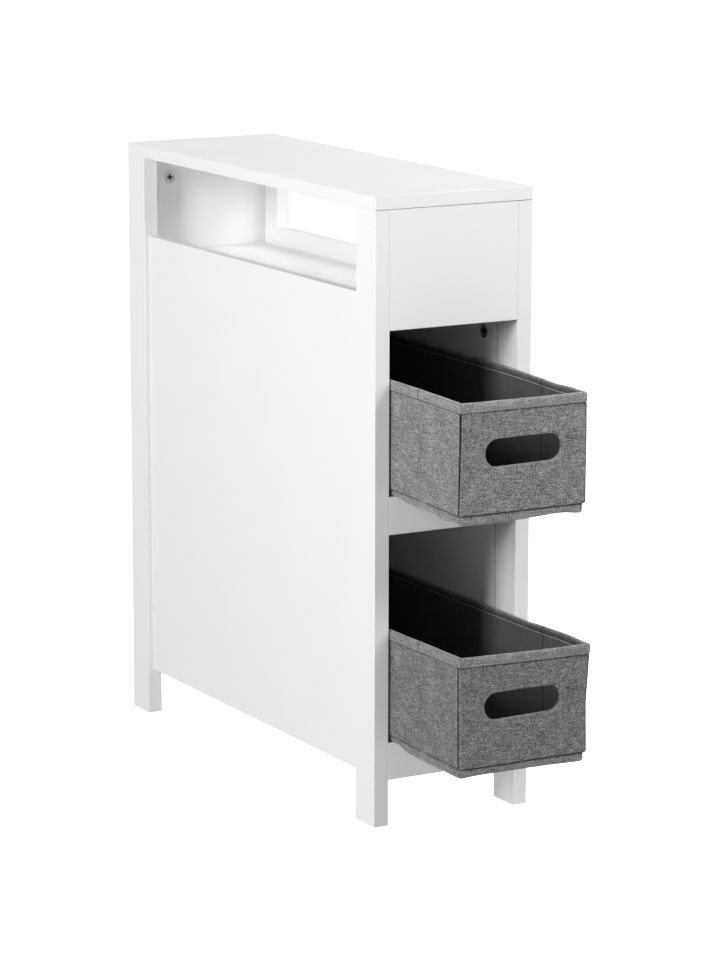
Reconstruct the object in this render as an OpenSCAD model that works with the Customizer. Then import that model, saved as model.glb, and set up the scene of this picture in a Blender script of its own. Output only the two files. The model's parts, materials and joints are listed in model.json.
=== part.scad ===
// Slim bathroom storage tower.
// A narrow white board cabinet on four square legs. An open-sided compartment
// lies under its top, and two fabric bins slide in the two bays below.
// Millimetres, +Z up. The narrow front, where the bins come out, faces -Y.
// The origin is on the floor, in the middle of the whole footprint with the
// bins drawn out. "Left" is the -X side.

/* [Cabinet] */
// Width across the legs
cabinet_w = 198; // [182:1:240]
// Depth from the front of the legs to the back
cabinet_d = 600; // [560:5:700]
// Height to the upper face of the top panel
cabinet_h = 700; // [620:5:860]
// Thickness of the top panel
top_t = 15; // [12:0.5:25]
// Width of a leg, across the cabinet
leg_w = 18; // [16:0.5:24]
// Depth of a leg, along the cabinet
leg_d = 42; // [34:0.5:60]
// Thickness of the side and back panels
panel_t = 12; // [10:0.5:15]
// Thickness of the fascia and the two rails
front_t = 15; // [12:0.5:18]
// Thickness of the three shelves
shelf_t = 15; // [12:0.5:20]
// Height of a rail
rail_h = 42.5; // [36:0.5:60]
// Width of the small flat that breaks each board's edges
edge_ease = 0.5; // [0.2:0.1:1.5]

/* [Levels] */
// Clear height of the open compartment under the top
compartment_h = 116.5; // [90:0.5:140]
// Height of the side panels above the compartment's floor
lip_h = 22.5; // [5:0.5:60]
// Clear height between the upper bin's rim and the fascia
upper_bin_headroom = 54.2; // [20:0.1:120]
// Height of the bottom rail's lower edge above the floor
rail_clearance = 52; // [20:1:70]
// Height of the side and back panels' lower edges above the floor
panel_clearance = 55; // [20:1:75]

/* [Bins] */
// Height of a bin
bin_h = 128; // [100:1:150]
// Gap between a bin and the cabinet at each side
bin_side_gap = 2; // [1:0.5:6]
// Space left behind a bin when its front is level with the legs
bin_rear_gap = 8; // [3:1:60]
// Running gap under a bin
bin_floor_gap = 0.3; // [0.2:0.1:1]
// How far the upper bin is drawn out
upper_bin_out = 146; // [0:1:280]
// How far the lower bin is drawn out
lower_bin_out = 149; // [0:1:280]
// Thickness of the outer cloth
cover_t = 0.8; // [0.5:0.1:1.5]
// Thickness of the stiffening boards inside the cloth
board_t = 2.4; // [1.5:0.1:4]
// Thickness of the lining
lining_t = 0.6; // [0.4:0.1:1.2]
// Thickness of the binding folded over the rim
binding_t = 0.8; // [0.5:0.1:1.5]
// Height of the rim binding
rim_hem_h = 10.5; // [6:0.5:20]
// Height of the soft rim above the boards
rim_slack = 5; // [2:0.5:5.5]
// Height of the hem round the base
base_hem_h = 7.5; // [5:0.5:15]
// How far the base hem is set back under the walls
base_inset = 2; // [0.5:0.1:2.6]
// Length of the hand slot
slot_l = 94; // [70:1:110]
// Height of the hand slot
slot_h = 30; // [20:1:40]
// Distance of the hand slot's middle below the rim
slot_drop = 57; // [40:1:75]
// Thickness of the cloth turned in round the hand slot
slot_turn = 2; // [1:0.1:3]
// Distance of the fold in the long walls behind the bin's front
fold_at = 89; // [60:1:200]
// Gap between the two boards of a long wall at the fold
fold_gap = 1; // [0.5:0.5:4]

/* [Fixings] */
// Diameter of a cam lock
cam_d = 15; // [12:0.5:16]
// Distance of a cam lock's centre from its board's edge
cam_inset = 29; // [24:1:34]
// Depth of a cam lock past the bolt's centre line
cam_past_bolt = 3.5; // [3.5:0.1:4.5]
// Distance of a cam lock or dowel row from the end of its board
cam_end = 60; // [50:1:80]
// Distance of the top panel's cam bolts from the inner faces of the legs
top_cam_x = 32; // [24:1:40]
// Height of the fascia's side cam locks above its lower edge
fascia_cam_z = 35; // [25:1:45]
// Diameter of a cam bolt's thread
bolt_d = 6; // [5:0.5:7]
// Diameter of a cam bolt's neck
bolt_neck_d = 4; // [3:0.5:4.5]
// Diameter of a cam bolt's head
bolt_head_d = 6; // [5:0.5:6]
// Length of a cam bolt's thread, and of a dowel's short end
fixing_grip = 9; // [7:0.5:9]
// Diameter of a cam bolt's collar
collar_d = 7.2; // [6.5:0.1:7.4]
// Diameter of the hole that a cam bolt passes through in its board's edge
bolt_path_d = 8; // [7.6:0.1:9]
// Diameter of a dowel
dowel_d = 6; // [5:0.5:8]
// Length of a dowel
dowel_l = 30; // [24:1:36]
// Distance between the two dowels in the top of a leg
leg_dowel_pitch = 20; // [16:1:24]
// Gap round a dowel, thread or cam lock in its hole
hole_play = 0.1; // [0.05:0.05:0.3]

/* [Hidden] */
$fn = 48;

// Colours
paint = "white";
cloth = "gray";
lining_cloth = "dimgray";
fibre_board = "rosybrown";
zinc = "silver";
beech = "burlywood";

// Planes of the cabinet, front to back and side to side
drawn_out = max(upper_bin_out, lower_bin_out);
front_y = (drawn_out - cabinet_d) / 2;
back_y = front_y + cabinet_d;
leg_x = cabinet_w / 2 - leg_w;
behind_front_leg = front_y + leg_d;
before_back_leg = back_y - leg_d;
rail_mid_y = front_y + front_t / 2;
back_mid_y = back_y - panel_t / 2;
side_mid_x = leg_x + panel_t / 2;
leg_mid_x = leg_x + leg_w / 2;
inner_w = 2 * leg_x;

// Heights of the cabinet's parts
under_top = cabinet_h - top_t;
compartment_floor = under_top - compartment_h;
fascia_z = compartment_floor - shelf_t;
sill_z = compartment_floor + lip_h;
bottom_floor = rail_clearance + rail_h;
middle_floor = fascia_z - upper_bin_headroom - bin_h - bin_floor_gap;
middle_rail_z = middle_floor - rail_h;

// Length of the bins, and the sizes of each layer of a bin: [width, length]
bin_l = cabinet_d - panel_t - bin_rear_gap;
bin_size = [inner_w - 2 * bin_side_gap, bin_l];
function inside(size, wall) = [size.x - 2 * wall, size.y - 2 * wall];
cover_size = inside(bin_size, binding_t);
board_size = inside(cover_size, cover_t);
lining_size = inside(board_size, board_t);
hollow_size = inside(lining_size, lining_t);
rim_hollow_size = inside(hollow_size, binding_t);
base_size = inside(cover_size, base_inset);
wall_top = bin_h - binding_t;
wall_foot = base_hem_h + cover_t;
board_top = bin_h - rim_slack;
base_board_top = cover_t + board_t;
front_board_y = (bin_l - board_size.y) / 2;
side_board_y = front_board_y + board_t;
slot_z = bin_h - slot_drop;
// How far a cut runs past the face that it opens
past = 1;

// Where the boards are joined: [point, way the fixing points, side its cam shows, board thickness]
function flipped(v) = [-v.x, v.y, v.z];
function both_sides(joints) =
    concat(joints, [for (j = joints) [flipped(j[0]), flipped(j[1]), flipped(j[2]), j[3]]]);
function spread(low, high, count) = [for (i = [1 : count]) low + (high - low) * i / (count + 1)];

side_cam_zs = [panel_clearance + cam_end, sill_z - cam_end];
side_dowel_zs = spread(side_cam_zs[0], side_cam_zs[1], 3);
back_cam_zs = [panel_clearance + cam_end, fascia_z - cam_end];
back_dowel_zs = spread(back_cam_zs[0], back_cam_zs[1], 2);
shelf_cam_ys = [behind_front_leg + cam_end, before_back_leg - cam_end];
shelf_dowel_ys = spread(shelf_cam_ys[0], shelf_cam_ys[1], 1);
rail_cam_dz = (rail_h - shelf_t) / 2;
rail_dowel_dz = rail_h - shelf_t / 2;
fascia_dowel_z = fascia_z + fascia_cam_z + cam_inset;

side_cams = both_sides([for (z = side_cam_zs, front = [true, false])
    [[side_mid_x, front ? behind_front_leg : before_back_leg, z], [0, front ? -1 : 1, 0], [-1, 0, 0], panel_t]]);
side_dowels = both_sides([for (z = side_dowel_zs, front = [true, false])
    [[side_mid_x, front ? behind_front_leg : before_back_leg, z], [0, front ? -1 : 1, 0], [-1, 0, 0], panel_t]]);
back_cams = both_sides([for (z = back_cam_zs) [[leg_x, back_mid_y, z], [1, 0, 0], [0, -1, 0], panel_t]]);
back_dowels = both_sides([for (z = back_dowel_zs) [[leg_x, back_mid_y, z], [1, 0, 0], [0, -1, 0], panel_t]]);
back_top_cams = both_sides([[[leg_x - top_cam_x, back_mid_y, under_top], [0, 0, 1], [0, -1, 0], panel_t]]);
fascia_top_cams = both_sides([[[leg_x - top_cam_x, rail_mid_y, under_top], [0, 0, 1], [0, 1, 0], front_t]]);
fascia_cams = both_sides([[[leg_x, rail_mid_y, fascia_z + fascia_cam_z], [1, 0, 0], [0, 1, 0], front_t]]);
fascia_dowels = both_sides([[[leg_x, rail_mid_y, fascia_dowel_z], [1, 0, 0], [0, 1, 0], front_t]]);
function rail_cams(z) = both_sides([[[leg_x, rail_mid_y, z + rail_cam_dz], [1, 0, 0], [0, 1, 0], front_t]]);
function rail_dowels(z) = both_sides([[[leg_x, rail_mid_y, z + rail_dowel_dz], [1, 0, 0], [0, 1, 0], front_t]]);
function shelf_cams(floor_z) = both_sides([for (y = shelf_cam_ys)
    [[leg_x, y, floor_z - shelf_t / 2], [1, 0, 0], [0, 0, -1], shelf_t]]);
function shelf_dowels(floor_z) = both_sides([for (y = shelf_dowel_ys)
    [[leg_x, y, floor_z - shelf_t / 2], [1, 0, 0], [0, 0, -1], shelf_t]]);
leg_dowels = both_sides([for (y = [front_y + leg_d / 2, back_y - leg_d / 2], way = [-1, 1])
    [[leg_mid_x, y + way * leg_dowel_pitch / 2, under_top], [0, 0, 1], [0, 1, 0], leg_w]]);

rail_levels = [rail_clearance, middle_rail_z];
shelf_levels = [bottom_floor, middle_floor, compartment_floor];
all_rail_cams = [for (z = rail_levels) each rail_cams(z)];
all_rail_dowels = [for (z = rail_levels) each rail_dowels(z)];
all_shelf_cams = [for (z = shelf_levels) each shelf_cams(z)];
all_shelf_dowels = [for (z = shelf_levels) each shelf_dowels(z)];
every_cam = concat(side_cams, back_cams, back_top_cams, fascia_top_cams, fascia_cams, all_rail_cams, all_shelf_cams);
every_dowel = concat(side_dowels, back_dowels, fascia_dowels, all_rail_dowels, all_shelf_dowels, leg_dowels);

// Fixing details: the cam bolt's collar and head, and the tapered tips of bolts and dowels
collar_h = 2;
head_back = 3;
head_front = 2;
head_taper = 1;
head_play = 0.3;
cam_hole_d = bolt_head_d + 2 * head_play;
tip_taper = 0.8;
hole_end = 0.5;
// The cam lock's turning cross
cross_l = 7.4;
cross_w = 2.2;
cross_depth = 1.4;

// Puts a fixing at a joint: its Z axis points along the bolt, its X axis out of the board's face
module at_joint(joint) {
    p = joint[0];
    along = joint[1];
    face = joint[2];
    side = cross(along, face);
    multmatrix([
        [face.x, side.x, along.x, p.x],
        [face.y, side.y, along.y, p.y],
        [face.z, side.z, along.z, p.z],
        [0, 0, 0, 1]
    ])
        children();
}

// The holes for a cam lock and its bolt, in both boards
module cam_holes(joints) {
    for (joint = joints)
        at_joint(joint) {
            translate([0, 0, -cam_inset])
                cylinder(d = bolt_path_d, h = cam_inset);
            translate([0, 0, -past])
                cylinder(d = bolt_d + 2 * hole_play, h = past + fixing_grip + hole_end);
            translate([-cam_past_bolt, 0, -cam_inset])
                rotate([0, 90, 0])
                    cylinder(d = cam_d + 2 * hole_play, h = cam_past_bolt + joint[3] / 2 + past);
        }
}

// The holes for a dowel, in both boards
module dowel_holes(joints) {
    for (joint = joints)
        at_joint(joint)
            translate([0, 0, fixing_grip - dowel_l - hole_end])
                cylinder(d = dowel_d + 2 * hole_play, h = dowel_l + 2 * hole_end);
}

// A round cam lock, level with the board's face, with its turning cross
module cam_lock(board_thickness) {
    h = cam_past_bolt + board_thickness / 2;
    difference() {
        translate([-cam_past_bolt, 0, -cam_inset])
            rotate([0, 90, 0])
                cylinder(d = cam_d, h = h);
        translate([0, 0, -cam_inset - head_back - hole_end])
            cylinder(d = cam_hole_d, h = cam_d);
        translate([board_thickness / 2 - cross_depth, 0, -cam_inset])
            for (turn = [0, 90])
                rotate([turn, 0, 0])
                    translate([0, -cross_l / 2, -cross_w / 2])
                        cube([cross_depth + past, cross_l, cross_w]);
    }
}

// A turned bolt: thread in one board, collar, neck, and the head that the cam pulls
module cam_bolt() {
    rotate_extrude()
        polygon([
            [0, -cam_inset - head_back],
            [bolt_head_d / 2, -cam_inset - head_back],
            [bolt_head_d / 2, -cam_inset + head_front],
            [bolt_neck_d / 2, -cam_inset + head_front + head_taper],
            [bolt_neck_d / 2, -collar_h],
            [collar_d / 2, -collar_h],
            [collar_d / 2, 0],
            [bolt_d / 2, 0],
            [bolt_d / 2, fixing_grip - tip_taper],
            [bolt_d / 2 - tip_taper, fixing_grip],
            [0, fixing_grip]
        ]);
}

module dowel() {
    long_end = fixing_grip - dowel_l;
    rotate_extrude()
        polygon([
            [0, long_end],
            [dowel_d / 2 - tip_taper, long_end],
            [dowel_d / 2, long_end + tip_taper],
            [dowel_d / 2, fixing_grip - tip_taper],
            [dowel_d / 2 - tip_taper, fixing_grip],
            [0, fixing_grip]
        ]);
}

// A rectangle with its four corners cut off by the edge easing
module eased_rectangle(a, b) {
    e = edge_ease;
    polygon([[e, 0], [a - e, 0], [a, e], [a, b - e], [a - e, b], [e, b], [0, b - e], [0, e]]);
}

// A board between two corners, with every edge eased
module board(low, high) {
    size = high - low;
    translate(low)
        intersection() {
            linear_extrude(size.z)
                eased_rectangle(size.x, size.y);
            translate([0, size.y, 0])
                rotate([90, 0, 0])
                    linear_extrude(size.y)
                        eased_rectangle(size.x, size.z);
            rotate([90, 0, 90])
                linear_extrude(size.x)
                    eased_rectangle(size.y, size.z);
        }
}

module top_panel() {
    color(paint)
        difference() {
            board([-cabinet_w / 2, front_y, under_top], [cabinet_w / 2, back_y, cabinet_h]);
            cam_holes(back_top_cams);
            cam_holes(fascia_top_cams);
            dowel_holes(leg_dowels);
        }
}

// A leg, from its inner face out to the cabinet's side; side is -1 on the left and 1 on the right
module leg(side, low_y) {
    low_x = side < 0 ? -cabinet_w / 2 : leg_x;
    color(paint)
        difference() {
            board([low_x, low_y, 0], [low_x + leg_w, low_y + leg_d, under_top]);
            dowel_holes(leg_dowels);
            cam_holes(side_cams);
            dowel_holes(side_dowels);
            children();
        }
}

module front_leg(side) {
    leg(side, front_y) {
        cam_holes(fascia_cams);
        dowel_holes(fascia_dowels);
        cam_holes(all_rail_cams);
        dowel_holes(all_rail_dowels);
    }
}

module back_leg(side) {
    leg(side, before_back_leg) {
        cam_holes(back_cams);
        dowel_holes(back_dowels);
    }
}

module front_left_leg() { front_leg(-1); }
module front_right_leg() { front_leg(1); }
module back_left_leg() { back_leg(-1); }
module back_right_leg() { back_leg(1); }

module side_panel(side) {
    low_x = side < 0 ? -leg_x - panel_t : leg_x;
    color(paint)
        difference() {
            board([low_x, behind_front_leg, panel_clearance], [low_x + panel_t, before_back_leg, sill_z]);
            cam_holes(side_cams);
            dowel_holes(side_dowels);
            cam_holes(all_shelf_cams);
            dowel_holes(all_shelf_dowels);
        }
}

module left_side_panel() { side_panel(-1); }
module right_side_panel() { side_panel(1); }

module back_panel() {
    color(paint)
        difference() {
            board([-leg_x, back_y - panel_t, panel_clearance], [leg_x, back_y, under_top]);
            cam_holes(back_cams);
            dowel_holes(back_dowels);
            cam_holes(back_top_cams);
        }
}

module front_fascia() {
    color(paint)
        difference() {
            board([-leg_x, front_y, fascia_z], [leg_x, front_y + front_t, under_top]);
            cam_holes(fascia_cams);
            dowel_holes(fascia_dowels);
            cam_holes(fascia_top_cams);
        }
}

module rail(low_z) {
    color(paint)
        difference() {
            board([-leg_x, front_y, low_z], [leg_x, front_y + front_t, low_z + rail_h]);
            cam_holes(rail_cams(low_z));
            dowel_holes(rail_dowels(low_z));
        }
}

module middle_rail() { rail(middle_rail_z); }
module bottom_rail() { rail(rail_clearance); }

module shelf(floor_z) {
    color(paint)
        difference() {
            board([-leg_x, front_y + front_t, floor_z - shelf_t], [leg_x, back_y - panel_t, floor_z]);
            cam_holes(shelf_cams(floor_z));
            dowel_holes(shelf_dowels(floor_z));
        }
}

module compartment_shelf() { shelf(compartment_floor); }
module middle_shelf() { shelf(middle_floor); }
module bottom_shelf() { shelf(bottom_floor); }

module cam_locks() {
    color(zinc)
        for (joint = every_cam)
            at_joint(joint)
                cam_lock(joint[3]);
}

module cam_bolts() {
    color(zinc)
        for (joint = every_cam)
            at_joint(joint)
                cam_bolt();
}

module dowels() {
    color(beech)
        for (joint = every_dowel)
            at_joint(joint)
                dowel();
}

// Bins are drawn in their own frame: front face at y = 0, underside at z = 0, middle at x = 0.
// A block of one layer's size, centred in the bin, between two heights
module layer(size, low_z, high_z) {
    translate([-size.x / 2, (bin_l - size.y) / 2, low_z])
        cube([size.x, size.y, high_z - low_z]);
}

// A block of the hand slot's outline, larger by grow all round, between two distances from the front
module slot_block(low_y, high_y, grow) {
    d = slot_h + 2 * grow;
    arc_x = (slot_l - slot_h) / 2;
    translate([0, low_y, slot_z])
        rotate([-90, 0, 0]) {
            translate([-arc_x, -d / 2, 0])
                cube([2 * arc_x, d, high_y - low_y]);
            for (side = [-1, 1])
                translate([side * arc_x, 0, 0])
                    cylinder(d = d, h = high_y - low_y);
        }
}

// The cut for the hand slot, through the whole front wall
module hand_slot(grow) {
    wall = (bin_l - rim_hollow_size.y) / 2;
    slot_block(-past, wall + past, grow);
}

// Outer cloth of the four walls, turned in under the boards' lower edges and round the hand slot
module bin_cover() {
    color(cloth)
        difference() {
            union() {
                difference() {
                    layer(cover_size, base_hem_h, wall_top);
                    layer(board_size, wall_foot, bin_h);
                    layer(lining_size, 0, bin_h);
                }
                slot_block(binding_t, side_board_y, slot_turn);
            }
            hand_slot(0);
        }
}

// Lining: the inside of the walls and the floor
module bin_lining() {
    color(lining_cloth)
        difference() {
            layer(lining_size, base_board_top, wall_top);
            layer(hollow_size, base_board_top + lining_t, bin_h);
            hand_slot(0);
        }
}

// Binding folded over the rim, with the seam's turned-in edges between cloth and lining above the boards
module bin_rim_binding() {
    color(cloth)
        difference() {
            layer(bin_size, bin_h - rim_hem_h, bin_h);
            difference() {
                layer(cover_size, 0, wall_top);
                layer(hollow_size, 0, wall_top);
                difference() {
                    layer(board_size, board_top, bin_h);
                    layer(lining_size, 0, bin_h);
                }
            }
            layer(rim_hollow_size, 0, bin_h + past);
        }
}

// Cloth under the base board, with the hem that shows round it
module bin_base_cover() {
    color(cloth)
        difference() {
            layer(base_size, 0, base_hem_h);
            layer(lining_size, cover_t, bin_h);
        }
}

module bin_base_board() {
    color(fibre_board)
        layer(lining_size, cover_t, base_board_top);
}

// Board of the front or back wall, across the bin's full width
module bin_end_board(low_y) {
    color(fibre_board)
        difference() {
            translate([-board_size.x / 2, low_y, wall_foot])
                cube([board_size.x, board_t, board_top - wall_foot]);
            hand_slot(slot_turn + hole_play);
        }
}

// Board of a long wall, between two distances from the front
module bin_side_board(side, low_y, high_y) {
    low_x = side < 0 ? -board_size.x / 2 : lining_size.x / 2;
    color(fibre_board)
        translate([low_x, low_y, wall_foot])
            cube([board_t, high_y - low_y, board_top - wall_foot]);
}

module bin_front_board() { bin_end_board(front_board_y); }
module bin_back_board() { bin_end_board(bin_l - side_board_y); }
module bin_side_front_board(side) { bin_side_board(side, side_board_y, fold_at - fold_gap / 2); }
module bin_side_rear_board(side) { bin_side_board(side, fold_at + fold_gap / 2, bin_l - side_board_y); }

module in_upper_bay() {
    translate([0, front_y - upper_bin_out, middle_floor + bin_floor_gap])
        children();
}

module in_lower_bay() {
    translate([0, front_y - lower_bin_out, bottom_floor + bin_floor_gap])
        children();
}

module upper_bin_cover() { in_upper_bay() bin_cover(); }
module upper_bin_lining() { in_upper_bay() bin_lining(); }
module upper_bin_rim_binding() { in_upper_bay() bin_rim_binding(); }
module upper_bin_base_cover() { in_upper_bay() bin_base_cover(); }
module upper_bin_base_board() { in_upper_bay() bin_base_board(); }
module upper_bin_front_board() { in_upper_bay() bin_front_board(); }
module upper_bin_back_board() { in_upper_bay() bin_back_board(); }
module upper_bin_left_front_board() { in_upper_bay() bin_side_front_board(-1); }
module upper_bin_left_rear_board() { in_upper_bay() bin_side_rear_board(-1); }
module upper_bin_right_front_board() { in_upper_bay() bin_side_front_board(1); }
module upper_bin_right_rear_board() { in_upper_bay() bin_side_rear_board(1); }

module lower_bin_cover() { in_lower_bay() bin_cover(); }
module lower_bin_lining() { in_lower_bay() bin_lining(); }
module lower_bin_rim_binding() { in_lower_bay() bin_rim_binding(); }
module lower_bin_base_cover() { in_lower_bay() bin_base_cover(); }
module lower_bin_base_board() { in_lower_bay() bin_base_board(); }
module lower_bin_front_board() { in_lower_bay() bin_front_board(); }
module lower_bin_back_board() { in_lower_bay() bin_back_board(); }
module lower_bin_left_front_board() { in_lower_bay() bin_side_front_board(-1); }
module lower_bin_left_rear_board() { in_lower_bay() bin_side_rear_board(-1); }
module lower_bin_right_front_board() { in_lower_bay() bin_side_front_board(1); }
module lower_bin_right_rear_board() { in_lower_bay() bin_side_rear_board(1); }

top_panel();
front_left_leg();
front_right_leg();
back_left_leg();
back_right_leg();
left_side_panel();
right_side_panel();
back_panel();
front_fascia();
middle_rail();
bottom_rail();
compartment_shelf();
middle_shelf();
bottom_shelf();
cam_locks();
cam_bolts();
dowels();
upper_bin_cover();
upper_bin_lining();
upper_bin_rim_binding();
upper_bin_base_cover();
upper_bin_base_board();
upper_bin_front_board();
upper_bin_back_board();
upper_bin_left_front_board();
upper_bin_left_rear_board();
upper_bin_right_front_board();
upper_bin_right_rear_board();
lower_bin_cover();
lower_bin_lining();
lower_bin_rim_binding();
lower_bin_base_cover();
lower_bin_base_board();
lower_bin_front_board();
lower_bin_back_board();
lower_bin_left_front_board();
lower_bin_left_rear_board();
lower_bin_right_front_board();
lower_bin_right_rear_board();
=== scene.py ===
# %% [markdown]
# # A slim storage tower with two cloth bins
#
# The part is a white cabinet, 198 mm wide, with two grey cloth bins that slide out of its narrow front.
# The cabinet's boards and fixings are right as the CAD model has them, so they keep their shape and get
# their finishes here. The bins are cloth over stiff boards, and cloth isn't a set of plates: it rolls in
# at its seams, puckers along its stitching and hangs a little where nothing carries it. So the cloth is
# modelled here, and stands in for the plain cloth solids.
#
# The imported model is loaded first. It is the fixed frame: everything else takes its place from it.

# %% Load the frame
import json
import math
import random

import bmesh
import bpy
from mathutils import Matrix, Vector, noise


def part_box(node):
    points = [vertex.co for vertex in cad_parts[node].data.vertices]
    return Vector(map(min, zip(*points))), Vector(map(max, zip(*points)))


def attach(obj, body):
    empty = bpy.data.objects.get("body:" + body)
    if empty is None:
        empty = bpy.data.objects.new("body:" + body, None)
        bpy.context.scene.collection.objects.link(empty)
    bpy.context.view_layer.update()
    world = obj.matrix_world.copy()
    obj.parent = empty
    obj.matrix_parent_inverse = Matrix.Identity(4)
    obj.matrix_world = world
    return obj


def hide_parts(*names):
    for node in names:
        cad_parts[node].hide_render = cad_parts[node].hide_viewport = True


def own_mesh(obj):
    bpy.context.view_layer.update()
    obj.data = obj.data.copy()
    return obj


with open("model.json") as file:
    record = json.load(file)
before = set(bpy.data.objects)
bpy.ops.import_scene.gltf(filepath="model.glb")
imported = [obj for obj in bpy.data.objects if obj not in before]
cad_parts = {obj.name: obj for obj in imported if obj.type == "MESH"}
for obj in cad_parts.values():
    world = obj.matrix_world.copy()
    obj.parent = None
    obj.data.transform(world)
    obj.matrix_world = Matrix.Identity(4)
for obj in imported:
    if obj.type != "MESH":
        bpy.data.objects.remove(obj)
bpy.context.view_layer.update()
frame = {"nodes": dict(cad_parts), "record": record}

# %% [markdown]
# ## Helpers
#
# Blender works in metres and the furniture trade in millimetres, so lengths below are in millimetres and
# are multiplied by MM at the last moment. Colours are written as the sRGB hex values of a paint card,
# and shaders want linear light, so one function converts them. One more function adds a shader node
# with its settings and links, which keeps every material below to the list of what it is made of.

# %% Millimetres, colours and nodes
MM = 0.001


def to_linear(hex_colour):
    """The linear colour, with full alpha, of an sRGB hex value such as "#F2F1EE"."""
    channels = [int(hex_colour[k:k + 2], 16) / 255 for k in (1, 3, 5)]
    return [c / 12.92 if c <= 0.04045 else ((c + 0.055) / 1.055) ** 2.4 for c in channels] + [1.0]


def add_node(tree, kind, inputs=None, **settings):
    """Adds one shader node. settings are its own properties; inputs give a socket a value or a link,
    and a node given as an input is linked by its first output."""
    made = tree.nodes.new("ShaderNode" + kind)
    for name, value in settings.items():
        setattr(made, name, value)
    for socket, value in (inputs or {}).items():
        if isinstance(value, bpy.types.Node):
            value = value.outputs[0]
        if isinstance(value, bpy.types.NodeSocket):
            tree.links.new(value, made.inputs[socket])
        else:
            made.inputs[socket].default_value = value
    return made


def read_table(table, place):
    """The value at a place, on straight lines between the (place, value) pairs of a table."""
    for (before, first), (after, second) in zip(table, table[1:]):
        if place < after:
            return first + (second - first) * max(0.0, place - before) / (after - before)
    return table[-1][1]


def spaced(start, end, step):
    """Evenly spaced values from start to end, no further apart than step."""
    count = max(1, math.ceil(abs(end - start) / step - 1e-6))
    return [start + (end - start) * k / count for k in range(count + 1)]


print("white board in linear light:", [round(c, 3) for c in to_linear("#F2F2F0")])

# %% [markdown]
# ## Camera
#
# The photograph was taken from far away with a long lens: a pinhole camera fitted to the corners of the
# cabinet's boards stands 4.4 m off and sees only 15 degrees from top to bottom. That keeps the uprights
# nearly parallel, as in most furniture pictures. The long side of the picture takes the sensor's width.

# %% Camera
CAMERA_TARGET = Vector((52.7, 74.5, 323.5))
CAMERA_DISTANCE = 4391.5
CAMERA_AZIMUTH = math.radians(-29.564)
CAMERA_ELEVATION = math.radians(11.505)
CAMERA_ROLL = math.radians(0.1)
PICTURE_HEIGHT = 960
FOCAL_LENGTH_PIXELS = 3739.6

backwards = Vector((math.sin(CAMERA_AZIMUTH) * math.cos(CAMERA_ELEVATION),
                    -math.cos(CAMERA_AZIMUTH) * math.cos(CAMERA_ELEVATION),
                    math.sin(CAMERA_ELEVATION)))
level_right = (-backwards).cross(Vector((0, 0, 1))).normalized()
level_up = level_right.cross(-backwards)
camera_right = math.cos(CAMERA_ROLL) * level_right + math.sin(CAMERA_ROLL) * level_up
camera_up = math.cos(CAMERA_ROLL) * level_up - math.sin(CAMERA_ROLL) * level_right

camera = bpy.data.objects.new("camera", bpy.data.cameras.new("camera"))
camera.data.lens = FOCAL_LENGTH_PIXELS / PICTURE_HEIGHT * camera.data.sensor_width
camera.data.clip_end = 100
camera_place = (CAMERA_TARGET + backwards * CAMERA_DISTANCE) * MM
camera.matrix_world = Matrix.Translation(camera_place) @ Matrix(
    (camera_right, camera_up, backwards)).transposed().to_4x4()
bpy.context.scene.collection.objects.link(camera)
bpy.context.scene.camera = camera
print("lens:", round(camera.data.lens, 1), "mm")

# %% [markdown]
# ## Studio
#
# A product like this is shot on a white sweep under soft boxes. The floor is a wide plain sheet with a
# glow, which keeps the background white. The light that such a floor throws up comes evenly from the sky
# below the horizon instead. Two soft boxes stand to the right in front, because the bins shade the left
# front leg and the rails. Two smaller ones on the left, one above the other, light the long side. A large
# one on the far right reaches the compartment, and a weak one behind and above lights the top. The powers
# were fitted to the tones of the boards in the picture, and the Standard view is used, so that white
# paint comes out as white as there.

# %% Floor, sky and lamps
FLOOR_SIZE = 80.0
FLOOR_GLOW = 0.85
ABOVE, BELOW = 0.28, 0.69      # brightness of the studio above the horizon, and of the sweep below it
HORIZON_BLUR = 0.15

scene = bpy.context.scene
scene.view_settings.view_transform = "Standard"

floor_mesh = bpy.data.meshes.new("floor")
reach = FLOOR_SIZE / 2
floor_mesh.from_pydata([(-reach, -reach, 0), (reach, -reach, 0), (reach, reach, 0), (-reach, reach, 0)],
                       [], [(0, 1, 2, 3)])
floor = bpy.data.objects.new("floor", floor_mesh)
scene.collection.objects.link(floor)
floor_paint = bpy.data.materials.new("pale_floor")
floor_paint.use_nodes = True
floor_shader = floor_paint.node_tree.nodes["Principled BSDF"]
for socket, value in (("Base Color", to_linear("#F4F4F4")), ("Roughness", 0.9),
                      ("Emission Color", to_linear("#FFFFFF")), ("Emission Strength", FLOOR_GLOW)):
    floor_shader.inputs[socket].default_value = value
floor_mesh.materials.append(floor_paint)
floor.visible_diffuse = floor.visible_glossy = False

world = bpy.data.worlds.new("studio")
world.use_nodes = True
sky_tree = world.node_tree
sky_direction = add_node(sky_tree, "TexCoord").outputs["Generated"]
sky_height = add_node(sky_tree, "SeparateXYZ", {"Vector": sky_direction}).outputs["Z"]
horizon = add_node(sky_tree, "MapRange", {
    "Value": sky_height, "From Min": -HORIZON_BLUR, "From Max": HORIZON_BLUR})
sky = add_node(sky_tree, "Mix", {
    "Factor": horizon.outputs["Result"], 6: [BELOW] * 3 + [1], 7: [ABOVE] * 3 + [1]}, data_type="RGBA")
sky_tree.links.new(sky.outputs[2], sky_tree.nodes["Background"].inputs["Color"])
scene.world = world

LAMP_TARGET = Vector((0, 60, 380))
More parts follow.
